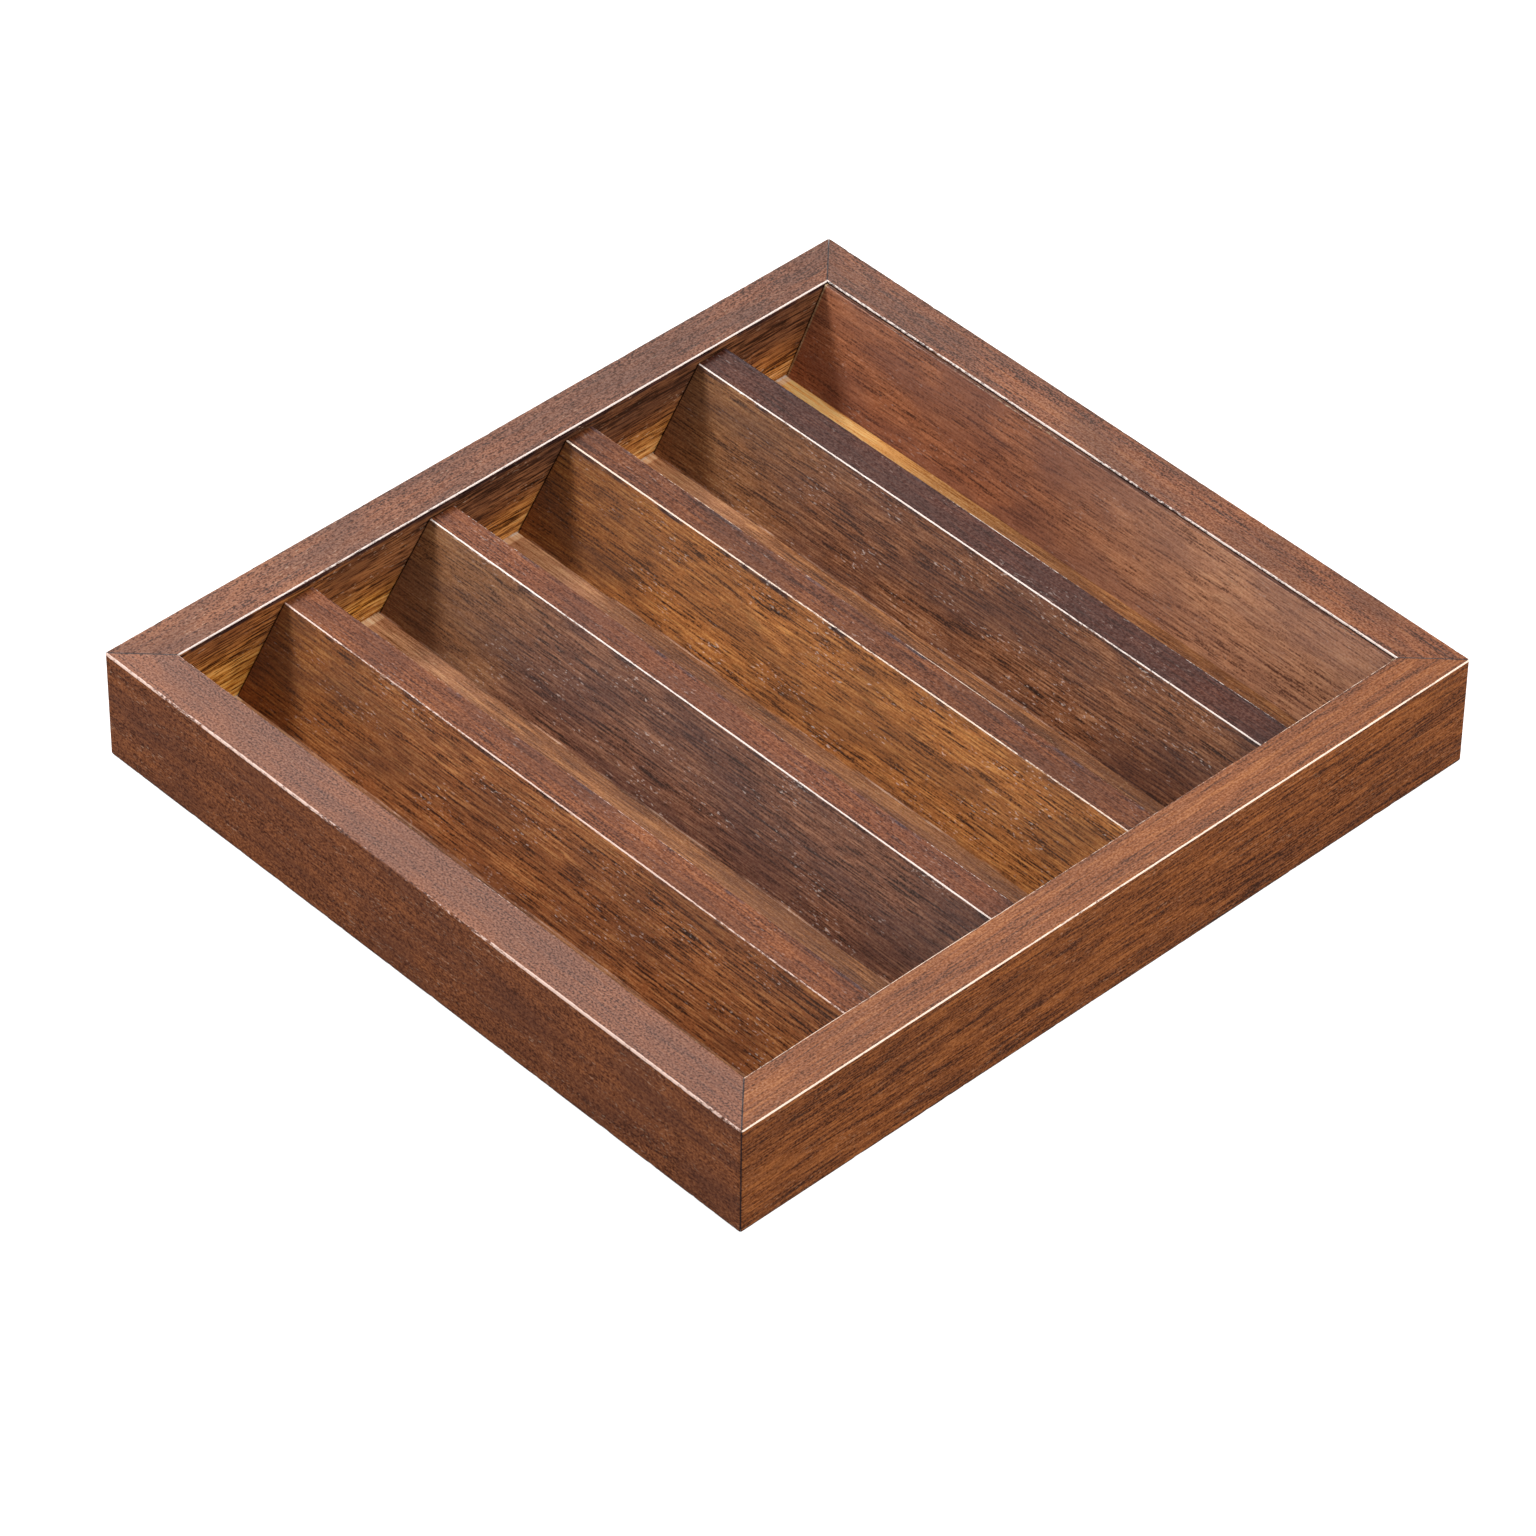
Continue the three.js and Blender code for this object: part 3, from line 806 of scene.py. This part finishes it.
# Painted light on a strip beside the left rail
panel_lit_pale = stain((190, 136, 92), (240, 192, 146), (255, 224, 180), (214, 160, 114))
left_rail_inside = cad_low.x + rail_thickness
lit_left_end = uneven_strip(0, left_rail_inside, 2.4 * mm, breaks=(0, 0))
lacquer_fillet_highlight = uneven_strip(0, left_rail_inside, 0.6 * mm)
panel_looks = (
    panel_look, (panel_lit_left, lit_left_third), (panel_lit_gold, lit_back_left), (panel_lit_pale, lit_left_end),
    (fillet_highlight, lacquer_fillet_highlight))
panel_wood = wood_material("panel_wood", panel_looks, seed=7.0, quarter_turns=0,
                           side_lacquer=0.12, top_lacquer=0.4, worn_and_highlit_wood=worn_and_highlit_white)
for panel_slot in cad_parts["base_panel"].material_slots:
    panel_slot.material = panel_wood


# Dividers
# Four mouldings of the same wood with a flat top and, in front, a long slope to lean a piece of the
# collection on. Each is glued to the panel and held by three brads driven up from underneath.
moulding_inputs = {
    "Length": ("Float", 177 * mm),
    "Foot": ("Float", -10 * mm),
    "Front": ("Float", 0.0),
    "Back": ("Float", 10 * mm),
    "Floor": ("Float", 8.0 * mm),
    "Top": ("Float", 27 * mm),
    "Front ease": ("Float", 0.3 * mm),
    "Rear ease": ("Float", 0.25 * mm),
    "End ease": ("Float", 0.3 * mm),
    "Front wear": ("Float", 0.5),
    "Rear wear": ("Float", 0.5),
    "End wear": ("Float", 0.0),
    "Chips": ("Float", 0.1 * mm),
    "Face margin": ("Float", 0.4 * mm),
    "Seed": ("Float", 0.0),
    "Brad line": ("Float", 0.0),
    "Brad spacing": ("Float", 70 * mm),
    "Brad hole": ("Float", 0.75 * mm),
    "Brad depth": ("Float", 10.3 * mm),
    "Material": ("Material", None),
}
moulding_stations = 321
brads_per_moulding = 3
mouldings, given, result = start_tree(
    "sloping_moulding", "GeometryNodeTree", moulding_inputs, {"Moulding": "Geometry"})
half_length = calculate(mouldings, "MULTIPLY", given["Length"], 0.5)
spine = crowded_spine(mouldings, moulding_stations, half_length)
rise = calculate(mouldings, "SUBTRACT", given["Top"], given["Floor"])
run = calculate(mouldings, "SUBTRACT", given["Front"], given["Foot"])
slope_length = calculate(mouldings, "SQRT", calculate(
    mouldings, "ADD", calculate(mouldings, "MULTIPLY", rise, rise),
    calculate(mouldings, "MULTIPLY", run, run)))
down_slope = (calculate(mouldings, "DIVIDE", calculate(mouldings, "MULTIPLY", run, -1), slope_length),
              calculate(mouldings, "DIVIDE", calculate(mouldings, "MULTIPLY", rise, -1), slope_length))
moulding_corners = [
    (given["Back"], given["Floor"], 0.0, 0.0),
    (given["Foot"], given["Floor"], 0.0, 0.0),
    *eased_corner(mouldings, given["Front"], given["Top"], given["Front ease"], given["Front wear"],
                  down_slope, (1.0, 0.0), guard=0.7),
    *eased_corner(mouldings, given["Back"], given["Top"], given["Rear ease"], given["Rear wear"],
                  (-1.0, 0.0), (0.0, -1.0)),
]
moulding_outline, rounding, rubbing_and_highlight = section_outline(mouldings, moulding_corners)
bar = sweep(mouldings, spine, moulding_outline)

# Both ends are eased along an arc over the last stretch.
x, _, _ = place_of(mouldings)
radius = given["End ease"]
into_arc = calculate(mouldings, "MAXIMUM", calculate(
    mouldings, "ADD", radius, calculate(
        mouldings, "SUBTRACT", calculate(mouldings, "ABSOLUTE", x), half_length)), 0.0)
squared = calculate(mouldings, "SUBTRACT", calculate(mouldings, "MULTIPLY", radius, radius),
                    calculate(mouldings, "MULTIPLY", into_arc, into_arc))
fall = calculate(mouldings, "SUBTRACT", radius, calculate(
    mouldings, "SQRT", calculate(mouldings, "MAXIMUM", squared, 0.0)))
is_long_edge = calculate(mouldings, "GREATER_THAN", rounding, 0.0)
is_end = calculate(mouldings, "GREATER_THAN", into_arc, 0.0)
wear = calculate(mouldings, "MAXIMUM", rubbing_and_highlight, calculate(mouldings, "MULTIPLY", is_end, given["End wear"]))
gloss = calculate(mouldings, "MULTIPLY", is_long_edge, spread(mouldings, rubbing_and_highlight, 0.4, 0.85))
marked = mark_points(mouldings, bar, {"edge": gloss, "wear": wear, "chipping": is_long_edge})

# The holes that its three brads fill
hole_line = add_node(mouldings, "GeometryNodeMeshLine", {
    "Count": brads_per_moulding,
    "Start Location": join_axes(mouldings, calculate(mouldings, "MULTIPLY", given["Brad spacing"], -1),
                                given["Brad line"], given["Floor"]),
    "Offset": join_axes(mouldings, given["Brad spacing"], 0, 0)})
hole = add_node(mouldings, "GeometryNodeMeshCylinder", {
    "Vertices": 12, "Radius": given["Brad hole"],
    "Depth": calculate(mouldings, "MULTIPLY", given["Brad depth"], 2)})
holes = add_node(mouldings, "GeometryNodeInstanceOnPoints", {
    "Points": hole_line.outputs[0], "Instance": hole.outputs[0]})
hole_cutters = add_node(mouldings, "GeometryNodeRealizeInstances", {"Geometry": holes.outputs[0]})
drilled = cut_out(mouldings, marked, [hole_cutters.outputs[0]])
_, normal_y, normal_z = part_axes(mouldings, add_node(mouldings, "GeometryNodeInputNormal").outputs[0])
sideways = calculate_vector(mouldings, "NORMALIZE", join_axes(mouldings, 0, normal_y, normal_z))
depth = calculate(mouldings, "ADD", chip_depth(mouldings, 3.0 * mm), fall)
eased_bar = sink(mouldings, drilled, sideways, depth)
finish_tree(mouldings, smooth_over(mouldings, eased_bar), result["Moulding"])


def moulding_sizes(name, top_width, brad_share):
    """The sizes of a moulding, from the box of its node, the width of its flat top, and how far its
    brads stand from its back, as a share of its depth."""
    low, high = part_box(name)
    return {
        "Length": high.x - low.x,
        "Foot": low.y,
        "Front": high.y - top_width,
        "Back": high.y,
        "Floor": low.z,
        "Top": high.z,
        "Brad line": high.y - brad_share * (high.y - low.y),
    }


divider_top_widths = (8.0 * mm, 6.96 * mm, 7.6 * mm, 8.4 * mm)
slope_grain = {
    "Glint": from_srgb(255, 236, 224), "Bands": 0.2, "Streaks": 0.25, "Fibres": 0.6, "Speckle": 0.25,
    "Blotches": 0.5, "Pores": 0.45, "Glints": 0.4}
slopes = (
    stain((52, 33, 24), (155, 93, 54), (198, 136, 84), (104, 65, 48)),
    stain((52, 33, 24), (124, 79, 58), (168, 118, 88), (82, 56, 52)),
    stain((52, 33, 24), (177, 109, 57), (218, 150, 84), (122, 79, 52)),
    stain((52, 33, 24), (132, 82, 53), (178, 125, 88), (88, 60, 54)),
)
# Painted light and shade at the left ends of the slopes, beside the left rail's cast shadow
left_end_light_and_shade = {
    **stain((66, 44, 32), (138, 91, 56), (172, 125, 82), (102, 70, 54)),
    "Streaks": 0.2, "Fibres": 0.5, "Pores": 0.4, "Glints": 0.1}
golden_left_end_light_and_shade = {**left_end_light_and_shade, "Middle": from_srgb(140, 84, 44), "Pale": from_srgb(176, 120, 66)}
left_end_light_and_shade_looks = (golden_left_end_light_and_shade, left_end_light_and_shade, golden_left_end_light_and_shade, left_end_light_and_shade)
slope_lacquers = (0.28, 0.5, 0.28, 0.38)
left_end_light_and_shade_zone = near_left(-84 * mm, -30 * mm)
joint_look = {**stain((16, 9, 7), (30, 17, 12), (44, 26, 18), (24, 14, 10)), "Glints": 0.0}
# Darker just under the front edge of each slope
dark_under_front_edge = stain((34, 22, 20), (78, 50, 40), (122, 78, 56), (60, 44, 44))
glue_look = stain((120, 80, 60), (206, 156, 124), (240, 204, 176))
# Darker patches along the rear edge of each divider's top
dark_by_rear_edge = stain((40, 28, 30), (72, 54, 58), (110, 84, 84))
left_joint = uneven_strip(0, left_rail_inside, 0.45 * mm, breaks=(0, 0))
divider_tops = (
    stain((70, 34, 18), (126, 68, 36), (160, 96, 54), (96, 54, 36)),
    stain((68, 34, 20), (122, 66, 38), (154, 92, 54), (90, 52, 38)),
    stain((62, 30, 16), (110, 58, 30), (142, 84, 46), (84, 48, 32)),
    stain((46, 22, 14), (78, 38, 26), (104, 60, 42), (64, 36, 30)),
)
top_grain = {"Bands": 0.2, "Streaks": 0.3, "Fibres": 0.5, "Speckle": 0.5, "Pores": 0.2, "Glints": 0.15}
# For each divider: the wear of the edge between its slope and its top, and its bare wood. Both
# also make a painted highlight on that edge.
divider_edges = ((0.82, worn_and_highlit_pink), (0.9, worn_and_highlit_white), (0.9, worn_and_highlit_cream), (0.95, worn_and_highlit_white))
for number, (slope, top_look, top_width, (wear, worn_and_highlit_wood)) in enumerate(
        zip(slopes, divider_tops, divider_top_widths, divider_edges), start=1):
    name = f"divider_{number}"
    low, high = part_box(name)
    looks = (
        {**slope_grain, **slope},
        (left_end_light_and_shade_looks[number - 1], left_end_light_and_shade_zone),
        (dark_under_front_edge, uneven_strip(2, high.z, -0.9 * mm, stretch=9 * mm, breaks=(0.46, 0.68))),
        (glue_look, uneven_strip(2, low.z, 0.35 * mm, stretch=14 * mm, breaks=(0.45, 0.6))),
        ({**top_look, **top_grain}, on_top),
        (dark_by_rear_edge, together(on_top, uneven_strip(1, high.y, -1.1 * mm, stretch=8 * mm, breaks=(0.5, 0.68)))),
        (joint_look, left_joint),
    )
    finish = wood_material(f"{name}_wood", looks, seed=number + 10.0, quarter_turns=0,
                           side_lacquer=slope_lacquers[number - 1], top_lacquer=0.38, worn_and_highlit_wood=worn_and_highlit_wood)
    piece = make_piece(f"{name}_finished", mouldings, {
        **moulding_sizes(name, top_width, brad_share=0.5),
        "Front ease": 0.32 * mm,
        "Rear ease": 0.25 * mm,
        "Front wear": wear,
        "Rear wear": 0.28,
        "Seed": 2.0 + number * 0.41,
        "Material": finish,
    })
    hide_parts(name)
    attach(piece, "root")


# Back rest
# A thinner moulding of the same wood along the back rail, with the same kind of slope and almost
# no flat on top. It too is glued to the panel and held by three brads.
rest_look = {
    **stain((78, 46, 34), (160, 98, 66), (190, 124, 86), (116, 74, 62)), "Glint": from_srgb(255, 236, 224),
    "Bands": 0.2, "Streaks": 0.25, "Fibres": 0.5, "Speckle": 0.3, "Blotches": 0.6,
    "Pores": 0.4, "Glints": 0.15}
# Painted light: the back rest lighter and pinker towards the right
rest_right_lit = stain((94, 58, 44), (191, 133, 98), (220, 164, 124), (150, 106, 88))
rest_top = stain((46, 30, 26), (106, 70, 54), (150, 104, 80), (80, 56, 50))
lit_right_part = rising(0, -30 * mm, 50 * mm)
# A painted highlight on the eased left end of the back rest
rest_end_highlight = {
    **stain((112, 84, 58), (176, 142, 104), (214, 184, 146), (140, 110, 82)), "Glints": 0.0, "Pores": 0.2}
highlit_left_end_edge = uneven_strip(0, left_rail_inside, 0.95 * mm, breaks=(0, 0))
rest_looks = (rest_look, (rest_right_lit, lit_right_part), (rest_top, on_top), (rest_end_highlight, highlit_left_end_edge))
# The pale colour of its eased edges: partly wear and partly a painted highlight
worn_and_highlit_olive = from_srgb(186, 158, 124)
back_rest_wood = wood_material("back_rest_wood", rest_looks, seed=16.0, quarter_turns=0,
                               side_lacquer=0.6, top_lacquer=0.1, worn_and_highlit_wood=worn_and_highlit_olive)
back_rest = make_piece("back_rest_finished", mouldings, {
    **moulding_sizes("back_rest", top_width=0.8 * mm, brad_share=0.35),
    "Front ease": 0.3 * mm,
    "Rear ease": 0.1 * mm,
    "Front wear": 0.1,
    "Rear wear": 0.0,
    "End wear": 0.55,
    "Chips": 0.05 * mm,
    "Face margin": 0.1 * mm,
    "Seed": 4.3,
    "Material": back_rest_wood,
})
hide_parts("back_rest")
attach(back_rest, "root")


# V-nails and brads
# Stamped V-nails of dark tempered steel, pressed up into the mitres, and bright wire brads with flat
# heads set flush in the underside of the base panel. Both have fine scuffs from the driver.

def steel_material(name, tint, scuff_size):
    """Bright steel with fine scuffs and a faint uneven film."""
    material, tree, shader = new_material(name)
    where = add_node(tree, "ShaderNodeTexCoord").outputs["Object"]
    scuffs = noise(tree, where, (scuff_size, scuff_size / 6, scuff_size / 6), 3, 0.6)
    film = noise(tree, where, (1.4 * mm, 1.4 * mm, 1.4 * mm), 2, 0.5)
    dull = tuple(channel * 0.62 for channel in tint[:3]) + (1,)
    colour = mix_colours(tree, spread(tree, film, 0.35, 0.7), tint, dull)
    tree.links.new(colour, shader.inputs["Base Color"])
    shader.inputs["Metallic"].default_value = 1.0
    tree.links.new(calculate(tree, "MULTIPLY_ADD", scuffs, 0.35, 0.18), shader.inputs["Roughness"])
    bump = add_node(tree, "ShaderNodeBump", {"Height": scuffs, "Distance": 0.01 * mm, "Strength": 0.6})
    tree.links.new(bump.outputs[0], shader.inputs["Normal"])
    return material


v_nail_steel = steel_material("v_nail_steel", from_srgb(92, 94, 98), 2.5 * mm)
brad_steel = steel_material("brad_steel", from_srgb(190, 190, 188), 1.2 * mm)
for name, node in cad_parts.items():
    if name.startswith("v_nail"):
        steel = v_nail_steel
    elif "_brad_" in name:
        steel = brad_steel
    else:
        continue
    for node_slot in node.material_slots:
        node_slot.material = steel


# Floor and light
# A plain pale floor, a soft sky and four soft lamps round the case. The camera and reflections see
# floor and sky as white, while the floor keeps the shadow and the sky lights the case softly.

def seen_directly(tree):
    """1 where the camera, a reflection or a refraction looks, and 0 where light is gathered."""
    path = add_node(tree, "ShaderNodeLightPath")
    seen = path.outputs["Is Camera Ray"]
    for ray in ("Is Glossy Ray", "Is Transmission Ray"):
        seen = calculate(tree, "MAXIMUM", seen, path.outputs[ray])
    return seen


floor_mesh = bpy.data.meshes.new("studio_floor")
floor_reach = 6.0
floor_mesh.from_pydata(
    [(-floor_reach, -floor_reach, 0), (floor_reach, -floor_reach, 0),
     (floor_reach, floor_reach, 0), (-floor_reach, floor_reach, 0)], [], [(0, 1, 2, 3)])
studio_floor = bpy.data.objects.new("studio_floor", floor_mesh)
bpy.context.scene.collection.objects.link(studio_floor)
floor_paint, tree, shader = new_material("floor_paint")
shader.inputs["Base Color"].default_value = (0.7, 0.7, 0.7, 1)
shader.inputs["Roughness"].default_value = 0.9
white = add_node(tree, "ShaderNodeEmission", {"Color": (1, 1, 1, 1), "Strength": 0.75})
bright = add_node(tree, "ShaderNodeAddShader", {0: shader.outputs[0], 1: white.outputs[0]})
choice = add_node(tree, "ShaderNodeMixShader", {
    0: seen_directly(tree), 1: shader.outputs[0], 2: bright.outputs[0]})
tree.links.new(choice.outputs[0], tree.nodes["Material Output"].inputs["Surface"])
floor_mesh.materials.append(floor_paint)

world = bpy.data.worlds.new("studio")
bpy.context.scene.world = world
world.use_nodes = True
tree = world.node_tree
background = tree.nodes["Background"]
sky_strength = 0.38
strength = calculate(tree, "MULTIPLY_ADD", seen_directly(tree), 1 - sky_strength, sky_strength)
tree.links.new(strength, background.inputs["Strength"])
background.inputs["Color"].default_value = (1, 1, 1, 1)


def add_softbox(name, direction, distance, side, power):
    """A soft square lamp that faces the middle of the case from the given direction."""
    data = bpy.data.lights.new(name, "AREA")
    data.shape = "SQUARE"
    data.size = side
    data.energy = power
    lamp = bpy.data.objects.new(name, data)
    bpy.context.scene.collection.objects.link(lamp)
    toward = Vector(direction).normalized()
    lamp.location = toward * distance
    lamp.rotation_mode = "QUATERNION"
    lamp.rotation_quaternion = toward.to_track_quat("Z", "Y")
    lamp.visible_camera = False


add_softbox("front_left_softbox", (-0.66, -0.42, 0.6), distance=1.2, side=0.2, power=7.7)
add_softbox("back_right_softbox", (0.5, 0.52, 0.7), distance=1.2, side=0.45, power=5.6)
add_softbox("back_left_panel", (-0.7, 0.3, 0.65), distance=1.5, side=1.2, power=6.2)
add_softbox("right_softbox", (0.9, 0.1, 0.42), distance=1.3, side=0.5, power=6.6)

bpy.context.scene.view_settings.view_transform = "Standard"
